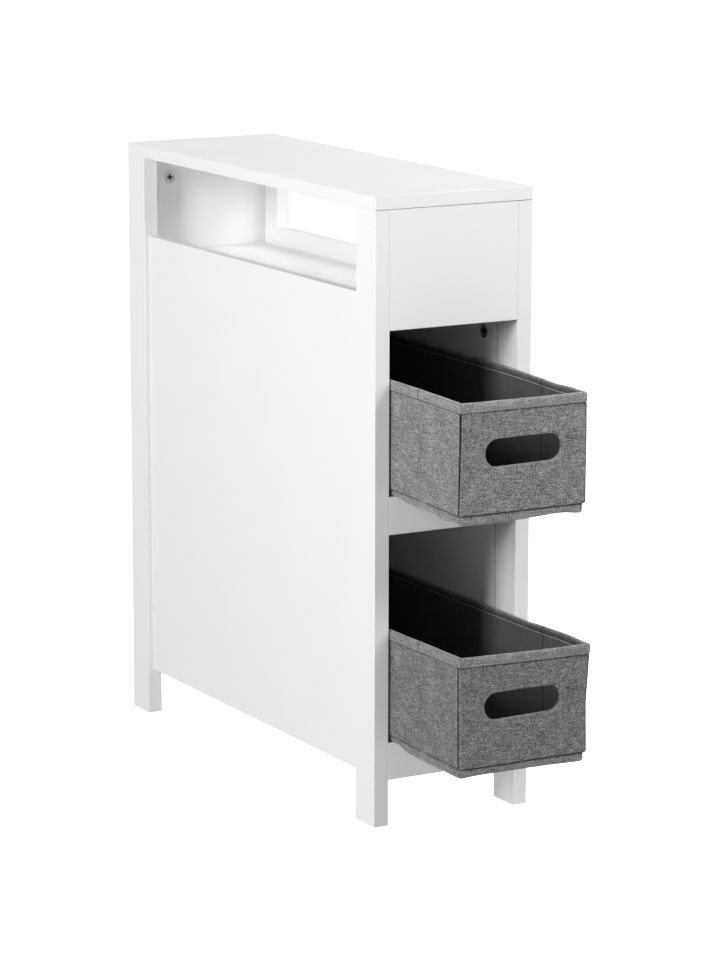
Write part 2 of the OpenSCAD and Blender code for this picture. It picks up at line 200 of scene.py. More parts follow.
# name, azimuth and elevation in degrees as for the camera, distance, width and height in mm, watts
LAMPS = [
    ("key_high", 30, 35, 3000, 900, 900, 28.5),
    ("key_low", 50, 25, 3000, 500, 500, 15.5),
    ("left_low", -69, 15, 2600, 600, 600, 23.5),
    ("left_high", -69, 28, 2600, 600, 600, 21.5),
    ("right_side", 90, 39, 2600, 1200, 1200, 40.0),
    ("back_top", 180, 60, 2600, 1500, 1500, 12.0),
]


def lamp_matrix(azimuth, elevation, distance):
    """Where a lamp stands, turned to face the cabinet."""
    a, e = math.radians(azimuth), math.radians(elevation)
    away = Vector((math.sin(a) * math.cos(e), -math.cos(a) * math.cos(e), math.sin(e)))
    return (Matrix.Translation((LAMP_TARGET + away * distance) * MM)
            @ away.to_track_quat("Z", "Y").to_matrix().to_4x4())


for lamp_name, azimuth, elevation, distance, width, height, watts in LAMPS:
    lamp = bpy.data.objects.new(lamp_name, bpy.data.lights.new(lamp_name, "AREA"))
    lamp.data.shape = "RECTANGLE"
    lamp.data.size, lamp.data.size_y = width * MM, height * MM
    lamp.data.energy = watts
    lamp.matrix_world = lamp_matrix(azimuth, elevation, distance)
    scene.collection.objects.link(lamp)
print(len(LAMPS), "soft boxes")

# %% [markdown]
# ## White board
#
# The cabinet is medium-density fibreboard, sprayed with a satin white lacquer. Sprayed lacquer is never
# flat as glass: it dries to a faint orange peel, about 2 mm from bump to bump and some microns deep,
# which blurs reflections in patches. Its colour is even, with a trace of thinner cover in places.
# The corners of such boards are eased by sanding, so every board also gets a small bevel; a bevel
# modifier does it without touching the frame's own mesh. The weld before it joins the faces, which
# come apart in the file.
#
# Most materials here follow one recipe: a noise gives the tone, and the same noise or a finer one gives
# the relief. One function holds that recipe, and each material is a call of it with its own numbers.

# %% Lacquered board
def new_material(name):
    """A material with an empty node tree, and the tree."""
    made = bpy.data.materials.new(name)
    made.use_nodes = True
    made.node_tree.nodes.clear()
    return made, made.node_tree


def grained(name, hex_dark, hex_light, grain, pattern, surface, relief=None, relief_grain=None, gloss=None,
            stretch=None, shade_in_recesses=False):
    """A material whose tone follows one noise. grain is its size; pattern and surface are more inputs of
    the noise and of the shader. relief is (strength, depth) of bumps by the same noise, or by a finer one
    of size relief_grain. gloss is the range of a roughness that varies with the tone."""
    made, tree = new_material(name)
    place = add_node(tree, "TexCoord").outputs["Object"]
    if stretch:
        place = add_node(tree, "Mapping", {"Vector": place, "Scale": stretch})
    grit = add_node(tree, "TexNoise", {"Vector": place, "Scale": 1 / grain, **pattern})
    tone = add_node(tree, "ValToRGB", {"Fac": grit})
    tone.color_ramp.elements[0].color = to_linear(hex_dark)
    tone.color_ramp.elements[1].color = to_linear(hex_light)
    # painted shade: the tone goes towards near black where an occlusion node finds a recess
    if shade_in_recesses:
        openness = add_node(tree, "AmbientOcclusion", {"Distance": RECESS_SHADE_REACH}).outputs["AO"]
        open_part = add_node(tree, "MapRange", {"Value": openness, "From Min": 0.8, "From Max": 0.97})
        tone = add_node(tree, "Mix", {"Factor": open_part, 6: to_linear("#141414"), 7: tone},
                        data_type="RGBA").outputs[2]
    surface = {"Base Color": tone, **surface}
    if gloss:
        surface["Roughness"] = add_node(tree, "MapRange", {
            "Value": grit, "To Min": gloss[0], "To Max": gloss[1]})
    if relief:
        height = grit
        if relief_grain:
            height = add_node(tree, "TexNoise", {"Vector": place, "Scale": 1 / relief_grain, "Detail": 2.0})
        surface["Normal"] = add_node(tree, "Bump", {
            "Height": height, "Strength": relief[0], "Distance": relief[1]})
    shader = add_node(tree, "BsdfPrincipled", surface)
    add_node(tree, "OutputMaterial", {"Surface": shader})
    return made


# recesses up to this width get painted shade
RECESS_SHADE_REACH = 4.0 * MM       # width of a recess that looks dark
LACQUER_CLOUD = 90 * MM       # patches of thinner cover
ORANGE_PEEL = 2.2 * MM        # bump to bump
LACQUER_IOR = 1.5             # lacquer is a clear resin

white_lacquer = grained("satin_white_lacquer_on_mdf", "#E8E8E8", "#ECECEC", LACQUER_CLOUD, {"Detail": 3.0},
                        {"IOR": LACQUER_IOR}, (0.25, 0.05 * MM), ORANGE_PEEL, gloss=(0.34, 0.46))
print("lacquer:", len(white_lacquer.node_tree.nodes), "nodes")

# %% [markdown]
# ## Fixings
#
# A cam lock is die-cast zinc: dull, grainy and a little dark. Its bolt is turned steel with bright zinc
# plating. Both are metals, so metallic is 1, the colour is the reflection, and the IOR stays as it is.
# In the lock and in the bolt, what lies in a recess, such as the lock's cross, is painted darker: painted
# shade.
#
# The dowels are beech, whose short dark flecks lie along the grain. The bins are stiffened with raw fibre
# board, pressed from grey-brown waste fibres, with mottled flecks a few millimetres long. It only shows
# where someone looks under the cloth.

# %% Zinc, plated steel, beech and fibre board
METAL = {"Metallic": 1.0}
cast_zinc = grained("die_cast_zinc", "#B2B2B3", "#D0D0D0", 0.5 * MM, {"Detail": 4.0}, METAL,
                    (0.3, 0.1 * MM), gloss=(0.42, 0.6), shade_in_recesses=True)
plated_steel = grained("zinc_plated_steel", "#9C9D9C", "#BEBFBD", 0.3 * MM, {"Detail": 4.0}, METAL,
                       (0.3, 0.1 * MM), gloss=(0.22, 0.36), shade_in_recesses=True)
beech = grained("turned_beech", "#B48A5C", "#DDBB8C", 1.2 * MM, {"Detail": 3.0}, {"Roughness": 0.6},
                (0.4, 0.1 * MM), stretch=(0.15, 1.0, 1.0))
raw_board = grained("raw_grey_fibre_board", "#7F766C", "#B4A999", 3 * MM,
                    {"Detail": 6.0, "Distortion": 1.5}, {"Roughness": 0.85}, (0.5, 0.2 * MM))
print("fixings and board:", cast_zinc.name, plated_steel.name, beech.name, raw_board.name)

# %% [markdown]
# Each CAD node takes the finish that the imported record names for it, so no list of nodes is needed.

# %% Give the CAD nodes their finishes
EASED_EDGE = 0.5 * MM
SLOT_FINISH = {"white_board": white_lacquer, "zinc_cam": cast_zinc, "steel_bolt": plated_steel,
               "beech_dowel": beech, "fibre_board": raw_board}

for part in frame["record"]["subparts"]:
    finish = SLOT_FINISH.get(part["material_slot"])
    if finish is None:
        continue
    cad_node = frame["nodes"][part["node"]]
    cad_node.data.materials.clear()
    cad_node.data.materials.append(finish)
    if finish is white_lacquer:
        weld = cad_node.modifiers.new("join_faces", "WELD")
        weld.merge_threshold = 0.01 * MM
        bevel = cad_node.modifiers.new("eased_edges", "BEVEL")
        bevel.width, bevel.segments = EASED_EDGE, 2
        bevel.limit_method, bevel.angle_limit = "ANGLE", math.radians(40)
print("boards with eased edges:", sum(1 for n in frame["nodes"].values() if n.modifiers))

# %% [markdown]
# The top panel lies on the legs and the fascia, and across the front the joint shows as a fine dark
# line: shade between two eased edges. A narrow dark strip lies in that groove as painted shade. The same
# line shows inside the bays, where each side panel stands behind its front leg, and gets the same strip.

# %% Painted shade in the joints
JOINT = 0.32           # mm, half the height of the line under the top
JOINT_DEPTH = 0.2      # mm behind the front face
JOINT_BACK = 0.6       # mm, how far back that strip goes
LEG_JOINT = 0.25       # mm, half the width of the line in a bay
LEG_JOINT_BACK = 0.3   # mm, how deep it goes
PROUD = 0.05           # mm that it stands out of the boards

# the strips' dark colour is painted shade
joint_shade = grained("painted_shade_in_the_joint", "#3C3C3A", "#6A6A67", 6 * MM, {"Detail": 3.0},
                     {"Roughness": 1.0})


def shade_strip(name, rings):
    """A closed dark strip of painted shade through rings of four points."""
    strip = bmesh.new()
    columns = [[strip.verts.new(point) for point in ring] for ring in rings]
    for before, after in zip(columns, columns[1:]):
        for k in range(4):
            n = (k + 1) % 4
            strip.faces.new((before[k], after[k], after[n], before[n]))
    for end in (columns[0], columns[-1][::-1]):
        strip.faces.new(end)
    bmesh.ops.recalc_face_normals(strip, faces=strip.faces)
    joint_mesh = bpy.data.meshes.new(name)
    strip.to_mesh(joint_mesh)
    strip.free()
    joint_mesh.materials.append(joint_shade)
    joint = bpy.data.objects.new(name, joint_mesh)
    scene.collection.objects.link(joint)
    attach(joint, "cabinet")


top_low, top_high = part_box("top_panel")
shade_strip("top_joint_line", [
    [(x * MM, top_low.y + depth * MM, top_low.z + up * MM) for depth, up in (
        (JOINT_DEPTH, -JOINT), (JOINT_DEPTH, JOINT), (JOINT_BACK, JOINT / 2), (JOINT_BACK, -JOINT / 2))]
    for x in spaced(top_low.x / MM + JOINT_BACK, top_high.x / MM - JOINT_BACK, 20)])
leg_low, leg_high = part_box("front_right_leg")
SHELVES = ["bottom_shelf", "middle_shelf", "compartment_shelf"]      # each bay lies between two of them
for under, over in zip(SHELVES, SHELVES[1:]):
    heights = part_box(under)[1].z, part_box(over)[0].z
    for side, side_name in ((-1, "left"), (1, "right")):
        shade_strip(f"{side_name}_joint_line_over_{under}", [
            [(side * (leg_low.x + into * MM), leg_high.y + along * MM, z) for into, along in (
                (-PROUD, -LEG_JOINT), (-PROUD, LEG_JOINT),
                (LEG_JOINT_BACK, LEG_JOINT / 2), (LEG_JOINT_BACK, -LEG_JOINT / 2))]
            for z in heights])

# %% [markdown]
# ## Cloth of the bins
#
# The cloth is a plain weave of grey melange yarn, polyester made to look like linen. Melange means that
# light and dark fibres are spun together, so each yarn changes tone every few millimetres along its
# length, and the cloth shows short streaks both ways, over a salt-and-pepper grain. The real yarns are
# about 0.5 mm apart; they are drawn 0.8 mm apart, because finer ones vanish in the render. The pattern
# is not tied to a UV map: every mesh below carries a "weave" attribute, the place in its cut panel in
# millimetres, and a second attribute, a mask of painted shade that is 1 deep in a seam, where the colour
# is painted near black and the sheen is taken away.
#
# The two bins aren't from one dye lot: the lower one is a shade darker. Their trim, the rim band and the
# hem, is drawn in lighter colours than the walls: painted light.

# %% Melange cloth
WARP_STEP = 0.95    # mm from one upright yarn to the next
WEFT_STEP = 0.8     # mm from one level yarn to the next
WARP_STREAK = 8.0   # mm that an upright yarn keeps its tone
WEFT_STREAK = 14.0  # mm that a level yarn keeps its tone
PATCH = 22.0        # mm, uneven dyeing


def melange(name, hex_dark, hex_mid, hex_light):
    """Plain-woven melange cloth, drawn from the weave attribute."""
    made, tree = new_material(name)
    weave = add_node(tree, "Attribute", attribute_name="weave").outputs["Vector"]
    painted_shade = add_node(tree, "Attribute", attribute_name="painted_shade").outputs["Fac"]
    yarns = []
    for snap, scale in (((WARP_STEP, 0.05, 1), (1.1 / WARP_STEP, 1 / WARP_STREAK, 1.0)),
                        ((0.05, WEFT_STEP, 1), (1 / WEFT_STREAK, 1.1 / WEFT_STEP, 1.0))):
        number = add_node(tree, "VectorMath", {0: weave, 1: snap}, operation="SNAP")
        streak = add_node(tree, "Mapping", {"Vector": number, "Scale": scale})
        yarns.append(add_node(tree, "TexNoise", {"Vector": streak, "Scale": 1.0, "Detail": 1.0}))
    warp, weft = yarns
    cells = add_node(tree, "Mapping", {
        "Vector": weave, "Scale": (1 / WARP_STEP, 1 / WEFT_STEP, 1.0)})
    warp_on_top = add_node(tree, "TexChecker", {"Vector": cells, "Scale": 1.0}).outputs["Fac"]
    crossing = add_node(tree, "VectorMath", {0: cells}, operation="FLOOR")
    flecks = add_node(tree, "TexWhiteNoise", {"Vector": crossing})
    patches = add_node(tree, "TexNoise", {"Vector": weave, "Scale": 1 / PATCH, "Detail": 3.0})
    share = add_node(tree, "MapRange", {"Value": warp_on_top, "To Min": 0.1, "To Max": 0.6})
    crossed = add_node(tree, "Mix", {"Factor": share, "A": weft, "B": warp})
    flecked = add_node(tree, "Mix", {"Factor": 0.3, "A": crossed, "B": flecks})
    woven = add_node(tree, "Mix", {"Factor": 0.11, "A": flecked, "B": warp_on_top})
    tone = add_node(tree, "Mix", {"Factor": 0.15, "A": woven, "B": patches})
    colour = add_node(tree, "ValToRGB", {"Fac": tone})
    ramp = colour.color_ramp
    ramp.elements[0].position, ramp.elements[0].color = 0.33, to_linear(hex_dark)
    ramp.elements[1].position, ramp.elements[1].color = 0.67, to_linear(hex_light)
    ramp.elements.new(0.5).color = to_linear(hex_mid)
    # painted shade: by the mask, the colour goes towards near black in seams, folds, along the slot's edge
    # and on the band's inner face
    shaded = add_node(tree, "Mix", {
        "Factor": painted_shade, 6: colour, 7: to_linear("#0C0C0C")}, data_type="RGBA").outputs[2]
    threads = add_node(tree, "Bump", {"Height": tone, "Strength": 0.5, "Distance": 0.5 * MM})
    # the painted shade also takes the sheen away
    sheen_outside_shade = add_node(tree, "MapRange", {"Value": painted_shade, "To Min": 0.42, "To Max": 0.0})
    shader = add_node(tree, "BsdfPrincipled", {
        "Base Color": shaded, "Roughness": 0.95, "Normal": threads, "Specular IOR Level": 0.15,
        "Sheen Weight": sheen_outside_shade, "Sheen Roughness": 0.4})
    add_node(tree, "OutputMaterial", {"Surface": shader})
    return made


# the cloth of each bin, for its walls and for its trim; the trim's lighter colours are painted light
CLOTHS = {
    "upper_bin": (melange("grey_melange_weave", "#424241", "#767674", "#AEAEAC"),
                  melange("grey_melange_trim", "#5C5C5B", "#868684", "#B0B0AE")),
    "lower_bin": (melange("dark_grey_melange_weave", "#3A3A39", "#696967", "#9E9E9C"),
                  melange("dark_grey_melange_trim", "#545453", "#7A7A78", "#A3A3A1")),
}
print("yarns drawn", WARP_STEP, "mm apart across and", WEFT_STEP, "mm up")

# %% [markdown]
# The lining is a non-woven: fibres laid down at random and bonded by a grid of small hot dots. It is
# charcoal, matt and thin. The sewing thread is a grey polyester, lighter than the cloth.

# %% Lining and thread
BOND_DOT = 2.0      # mm between the bonding dots
lining_felt, tree = new_material("charcoal_nonwoven")
weave = add_node(tree, "Attribute", attribute_name="weave").outputs["Vector"]
painted_shade = add_node(tree, "Attribute", attribute_name="painted_shade").outputs["Fac"]
fibres = add_node(tree, "TexNoise", {
    "Vector": weave, "Scale": 1 / 1.5, "Detail": 5.0, "Distortion": 2.0})
felt_tone = add_node(tree, "ValToRGB", {"Fac": fibres})
felt_tone.color_ramp.elements[0].position, felt_tone.color_ramp.elements[1].position = 0.3, 0.7
felt_tone.color_ramp.elements[0].color = to_linear("#454543")
felt_tone.color_ramp.elements[1].color = to_linear("#60605D")
dots = add_node(tree, "TexVoronoi", {"Vector": weave, "Scale": 1 / BOND_DOT, "Randomness": 0.0})
felt_height = add_node(tree, "Mix", {"Factor": 0.5, "A": fibres, "B": dots})
relief = add_node(tree, "Bump", {"Height": felt_height, "Strength": 0.5, "Distance": 0.3 * MM})
# painted shade: the felt's colour goes towards near black by the mask
shaded_felt = add_node(tree, "Mix", {
    "Factor": painted_shade, 6: felt_tone, 7: to_linear("#161616")}, data_type="RGBA").outputs[2]
shader = add_node(tree, "BsdfPrincipled", {
    "Base Color": shaded_felt, "Roughness": 0.9, "Normal": relief, "Specular IOR Level": 0.2})
add_node(tree, "OutputMaterial", {"Surface": shader})

sewing_thread = grained("grey_polyester_thread", "#80807E", "#B4B4B2", 0.6 * MM, {"Detail": 2.0},
                        {"Roughness": 0.6, "Sheen Weight": 0.2}, (0.5, 0.1 * MM))
print("lining and thread:", lining_felt.name, sewing_thread.name)

# %% [markdown]
# ## The plan of a bin
#
# Seen from above, every layer of a bin is a rounded rectangle. All layers are drawn by one function that
# always gives the same number of points, so that rings of different sizes can be joined into one skin.
# The points are close together at the corners, where the panels are sewn, and at the fold, where the
# boards of the long walls part so that the bin can be folded flat.
#
# Lengths are read from the frame: x is across the bin, y starts at its front, z at its underside.

# %% Sizes and plan
cover_low, cover_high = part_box("upper_bin_cover")
rim_low, rim_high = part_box("upper_bin_rim_binding")
base_low, base_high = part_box("upper_bin_base_cover")
board_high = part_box("upper_bin_left_front_board")[1]
leg_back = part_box("front_left_leg")[0]

HALF = cover_high.x / MM                            # outer face of the walls' cloth
FRONT = (cover_low.y - rim_low.y) / MM
BACK = (cover_high.y - rim_low.y) / MM
LENGTH = (rim_high.y - rim_low.y) / MM
RIM = (rim_high.z - base_low.z) / MM                # top of the rim
BAND_FOOT = (rim_low.z - base_low.z) / MM           # lower edge of the rim band
SEAM = (cover_low.z - base_low.z) / MM              # where the walls meet the hem
FOLD = (board_high.y - rim_low.y) / MM + 0.5        # middle of the gap between the side boards
LEG = (leg_back.y - rim_low.y) / MM                 # where the cabinet's front legs begin

CORNER_TURNS = [0, 12, 24, 33, 40, 45, 50, 57, 66, 78, 90]
NEAR_CORNER = [0.6, 1.3, 2.0, 2.7, 3.4, 4.1, 4.8, 5.5, 6.4, 7.6, 9.2]
SLOT_FIELD = 60                                     # half width of the front panel's even grid
END_STEPS = spaced(-SLOT_FIELD, SLOT_FIELD, 4)
SIDE_STEPS = [*spaced(18, FOLD - 4, 5), *(FOLD + d for d in (-1.4, -0.5, 0, 0.5, 1.4)),
              *spaced(FOLD + 4, LEG + 5, 5), *spaced(LEG + 12, LENGTH - 18, 8)]
print("bin:", round(2 * HALF, 1), "wide,", round(LENGTH, 1), "long,", round(RIM, 1), "high; fold at", FOLD)


def run_points(start, end, steps):
    """Coordinates along a straight side, between the ends of two corners."""
    return ([start] + [start + d for d in NEAR_CORNER] + steps + [end - d for d in reversed(NEAR_CORNER)]
            + [end])


def plan_loop(out, radius):
    """The plan's points, out millimetres beyond the cover's face, counterclockwise from the front left.
    Each is (x, y, normal x, normal y, distance along the plan from the nearest corner)."""
    half, front, back = HALF + out, FRONT - out, BACK + out
    radius = max(radius, 0.001)
    x_end, y_front, y_back = half - radius, front + radius, back - radius
    ends = run_points(-x_end, x_end, END_STEPS)
    sides = run_points(y_front, y_back, SIDE_STEPS)
    seam_half = radius * math.pi / 4
    points = []

    def corner(cx, cy, start):
        for turn in CORNER_TURNS:
            a = math.radians(start + turn)
            points.append((cx + radius * math.cos(a), cy + radius * math.sin(a), math.cos(a), math.sin(a),
                           (turn - 45) / 45 * seam_half))

    def run(places, nx, ny):
        for p in places:
            behind, ahead = seam_half + abs(p - places[0]), -seam_half - abs(places[-1] - p)
            xy = (p, front if ny < 0 else back) if nx == 0 else (half if nx > 0 else -half, p)
            points.append((*xy, nx, ny, min(behind, ahead, key=abs)))

    corner(-x_end, y_front, 180)
    run(ends[1:-1], 0, -1)
    corner(x_end, y_front, 270)
    run(sides[1:-1], 1, 0)
    corner(x_end, y_back, 0)
    run(ends[-2:0:-1], 0, 1)
    corner(-x_end, y_back, 90)
    run(sides[-2:0:-1], -1, 0)
    return points


TURNS = len(CORNER_TURNS)
END_COUNT = len(END_STEPS) + 2 * len(NEAR_CORNER)
SIDE_COUNT = len(SIDE_STEPS) + 2 * len(NEAR_CORNER)
LOOP = 2 * (2 * TURNS + END_COUNT + SIDE_COUNT)
FRONT_RUN = list(range(TURNS - 1, TURNS + END_COUNT + 1))
RIGHT_RUN = [FRONT_RUN[-1] + TURNS - 1 + k for k in range(SIDE_COUNT + 2)]
BACK_RUN = [RIGHT_RUN[-1] + TURNS - 1 + k for k in range(END_COUNT + 2)]
LEFT_RUN = [(BACK_RUN[-1] + TURNS - 1 + k) % LOOP for k in range(SIDE_COUNT + 2)]
print(LOOP, "points round the plan")


def panel_of(k):
    """The sewn panel of the skin from plan point k to the next: 0 front, 1 right, 2 back, 3 left."""
    middle = TURNS // 2
    starts = [middle, FRONT_RUN[-1] + middle, RIGHT_RUN[-1] + middle, BACK_RUN[-1] + middle]
    return max((n for n, start in enumerate(starts) if k >= start), default=3)


# %% [markdown]
# ## Sewing a piece
#
# A piece of cloth is collected as points and faces, and each face notes where its corners lie in the
# flat panel that it was cut from. Rings of points are joined into a skin, and a flat floor is laid
# between the sides of a ring. This keeps a bag one continuous lofted shell, with its rolled corners
# and its hem in the same skin, where a box of plates would show open corners.

# %% Cloth pieces
PANEL_GAP = 13.7       # the panels' place in the pattern differs, as they come from different cuts
FOLD_WIDTH = 0.6       # mm, half the width of the fold in the long walls


class Cloth:
    """The points and faces of one sewn piece, in the bin's millimetres."""

    def __init__(self):
        self.points, self.pattern_v, self.painted_shades = [], [], []
        self.faces, self.weave, self.thread_faces = [], [], []

    def point(self, x, y, z, v=None, painted_shade=0.0):
        self.points.append((x, y, z))
        self.pattern_v.append(z if v is None else v)
        self.painted_shades.append(painted_shade)
        return len(self.points) - 1

    def ring(self, out, radius, z, v=None, painted_shade=0.0, shape=None, fold=(0.0, 0.0, 0.0), seam_back=0.0):
        """A ring of points round the plan. shape gives an extra offset and painted shade near corner seams;
        fold gives the offset, painted shade and lift at the fold of the long walls; seam_back is how far the
        front left seam lies back along the left wall."""
        made = []
        for x, y, nx, ny, seam in plan_loop(out, radius):
            seam += seam_back if x < 0 and y < FOLD else 0.0
            extra, dark = shape(seam) if shape else (0.0, 0.0)
            at_fold = math.exp(-((y - FOLD) / FOLD_WIDTH) ** 2) if ny == 0 else 0.0
            extra += fold[0] * at_fold
            made.append(self.point(x + nx * extra, y + ny * extra, z + fold[2] * at_fold, v,
                                   max(painted_shade, dark, fold[1] * at_fold)))
        return made

    def face(self, corners, panel):
        """A face, with its corners' places in the panel: panel 4 is a floor, cut flat."""
        self.faces.append(corners)
        for k in corners:
            x, y, _ = self.points[k]
            across = x if panel in (0, 2, 4) else y
            down = y if panel == 4 else self.pattern_v[k]
            self.weave.extend((across + panel * PANEL_GAP, down + panel * PANEL_GAP, panel * PANEL_GAP))

    def skin(self, lower, upper, columns=None, inside=False):
        """Joins two rings. columns are the plan points to join from; inside turns the faces inwards."""
        for k in (range(LOOP) if columns is None else columns):
            n = (k + 1) % LOOP
            corners = [lower[k], lower[n], upper[n], upper[k]]
            self.face(corners[::-1] if inside else corners, panel_of(k))

    def floor(self, ring, z, rows=None, inside=False):
        """Fills a ring with a grid between its sides. rows says how many of the side points are used."""
        rows = SIDE_COUNT + 2 if rows is None else rows
        grid = []
        for j in range(rows):
            left, right = ring[LEFT_RUN[-1 - j]], ring[RIGHT_RUN[j]]
            if j == 0:
                row = [ring[k] for k in FRONT_RUN]
            elif j == SIDE_COUNT + 1:
                row = [ring[k] for k in reversed(BACK_RUN)]
            else:
                y = self.points[left][1]
                xs = [self.points[ring[k]][0] for k in FRONT_RUN[1:-1]]
                row = [left, *(self.point(x, y, z) for x in xs), right]
            grid.append(row)
        for low, high in zip(grid, grid[1:]):
            for k in range(len(low) - 1):
                corners = [low[k], low[k + 1], high[k + 1], high[k]]
                self.face(corners if inside else corners[::-1], 4)


# %% [markdown]
# ## How the bins hang
#
# Both bins stand out of their bays by nearly a hand's length. Behind the legs a shelf carries them. In
# front of the legs nothing does, and the walls can bend at the fold, so the front of each bin has
# dropped a few millimetres, more at one corner than at the other. Everything soft on a bin goes through
# the same move, so that seams and stitches stay together. It starts from the front corners' drops,
# measured against the cabinet's edges, and adds the small waves of cloth that isn't glued down. They fade
# towards the back, which comes close to the back panel. The lower bin's right corner has also been
# pulled: its rim leans forward and stands a little high. On both bins the pull has moved the right wall's
# fold forward.
#
# What lies on the shelf stays flat, so that a bin pushed home doesn't sink into the rail.

# %% Settling the cloth
# Each bin, in mm. Pairs are for its left and its right edge; tables are (place, value) pairs.
BINS = {
    "upper_bin": {
        "rim": (-2.7, -3.9),          # drop of the rim at the front
        "seam": (-3.7, -3.9),         # drop of the seam above the hem
        "sink": 0.0,                  # the whole rim, front to back
        "right_rim": [(0, 1.3), (30, 1.0), (57, -0.8), (88, -0.9), (101, -0.6), (146, 0.3),
                      (180, 0.9)],    # lift of the right edge
        "lean": 0.4,                  # how far the foot stands forward
        "skew": 1.2,                  # how far the right edge stands forward
        "reach": 0.0,                 # how much more its rim corner leans forward
        "flare": 0.0,                 # and outward
        "fold_ahead": 4.9,            # how far the right wall's fold lies ahead
        "slot": (-0.6, 72.9, 94.4, 30.2),            # the hand slot's middle, across and up, length, height
        "tilt": 1.25,                 # its slope in degrees
        "hem_front": [(-79, -6.6), (-55, -8.1), (-15, -7.9), (0, -7.2), (25, -6.2), (44, -5.2), (55, -5.6),
                      (68, -7.4), (79, -8.2)],
        "hem_left": [(0, -6.6), (7, -6.0), (20, -4.9), (33, -6.5), (46, -7.2), (59, -3.9), (72, -3.7),
                     (98, -3.3), (111, -3.3), (124, -1.8), (146, 0.0)],
        "swell": 1.6,                 # how far the hem's left front corner bulges
        "corner": [(8, 2.4), (118, 0.6)],            # the front left seam's way back along the left wall
        "seed": 3.0},
    "lower_bin": {
        "rim": (0.8, -2.2), "seam": (-2.4, -1.9), "sink": -1.2,
        "right_rim": [(0, 2.9), (17, 3.0), (30, 3.5), (58, 3.1), (93, 1.6), (106, 1.0), (114, 0.0),
                      (146, 0.0)],
        "lean": 2.8, "skew": 3.6, "reach": 5.8, "flare": 1.2, "fold_ahead": 9.8,
        "slot": (-1.9, 72.9, 93.9, 29.6), "tilt": 1.6,
        "hem_front": [(-79, -5.0), (-55, -3.9), (0, -4.2), (40, -4.9), (79, -5.8)],
        "hem_left": [(0, -5.0), (17, -6.3), (52, -6.9), (70, -7.0), (87, -6.8), (104, -6.4), (122, -5.4),
                     (146, 0.0)],
        "swell": 3.0, "corner": [(8, 5.2), (118, 4.2)], "seed": 8.0},
}
FOLD_REACH = 25.0      # mm, how far the pull on the fold reaches along the wall
WAVE = 42.0            # mm, length of the slow waves
WAVE_DEPTH = 0.35
CALM_BACK = 40.0       # mm before the back, where waves fade so that the back clears the back panel
PUCKER = 7.0           # mm, gathers that the sewing pulls in
PUCKER_DEPTH = 0.22
FOLD_SHARE = 0.25      # of the front's drop is left at the fold
LIFT = 15              # mm of height over which the cloth goes over from the flat base to the hanging wall
PULL_FROM = 0.45       # share of the wall's height above which the pulled corner leans
WAVE_SEED = 1795532181
noise.seed_set(WAVE_SEED)      # without it, noise_vector takes its offsets from the clock


def hang(y):
    """The share of the front's drop at a distance from the front."""
    if y <= FOLD:
        return 1 - (1 - FOLD_SHARE) * max(y, -2) / FOLD
    return FOLD_SHARE * max(0.0, (LEG - y) / (LEG - FOLD)) ** 2


def between(pair, x):
    """The value at x, between one for the left edge and one for the right."""
    return pair[0] + (pair[1] - pair[0]) * (x + HALF) / (2 * HALF)


def bin_origin(bin_name):
    """Where a bin's own millimetres start: its middle, its front and its underside."""
    return Vector((0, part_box(bin_name + "_rim_binding")[0].y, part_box(bin_name + "_base_cover")[0].z))


def settle(bin_shape, point, flat_below):
    """Where a point ends up once the bin hangs out of its bay. Below flat_below it lies on the base."""
    x, y, z = point
    share = hang(y) * min(1.0, max(0.0, (z - flat_below) / LIFT))
    height = max(0.0, (z - SEAM) / (RIM - SEAM))
    right = max(0.0, (x + HALF) / (2 * HALF))
    drop = between(bin_shape["seam"], x) * (1 - height) + between(bin_shape["rim"], x) * height
    rise = bin_shape["sink"] * height + read_table(bin_shape["right_rim"], y) * (right * height) ** 4
    front = max(0.0, 1 - y / FOLD) * right ** 2
    pulled = max(0.0, height - PULL_FROM) / (1 - PULL_FROM) * front
    at_fold = math.exp(-((y - FOLD) / FOLD_REACH) ** 2) * right ** 2
    forward = (bin_shape["lean"] * max(0.0, 1 - height) * share + bin_shape["skew"] * front
               + bin_shape["reach"] * pulled + bin_shape["fold_ahead"] * at_fold)
    seed = Vector((0, 0, bin_shape["seed"] * 100))
    slow = noise.noise_vector((Vector(point) + seed) / WAVE) * WAVE_DEPTH
    sewn = math.exp(-((z - BAND_FOOT) / 5) ** 2) + math.exp(-((z - SEAM) / 4) ** 2)
    gather = noise.noise_vector((Vector(point) + seed) / PUCKER) * PUCKER_DEPTH * sewn
    calm = min(1.0, max(0.0, LENGTH - y) / CALM_BACK)
    return Vector((x + slow.x + gather.x + bin_shape["flare"] * pulled,
                   y + (slow.y + gather.y) * calm - forward,
                   z + drop * share + rise + 0.5 * slow.z * min(1, share * 2)))


print("share of the drop at the fold:", hang(FOLD), "and at the legs:", hang(LEG))

# %% [markdown]
# One function turns a collected piece into a Blender object in its bin's place. It welds points that
# meet, stores the weave attribute and the mask of painted shade, gives a thin cloth its thickness with a
# Solidify modifier, and lets the piece ride on its bin.

# %% From cloth to object
CLOTH_THICKNESS = 0.6
HANGS = -100           # flat_below for a piece that hangs with the walls


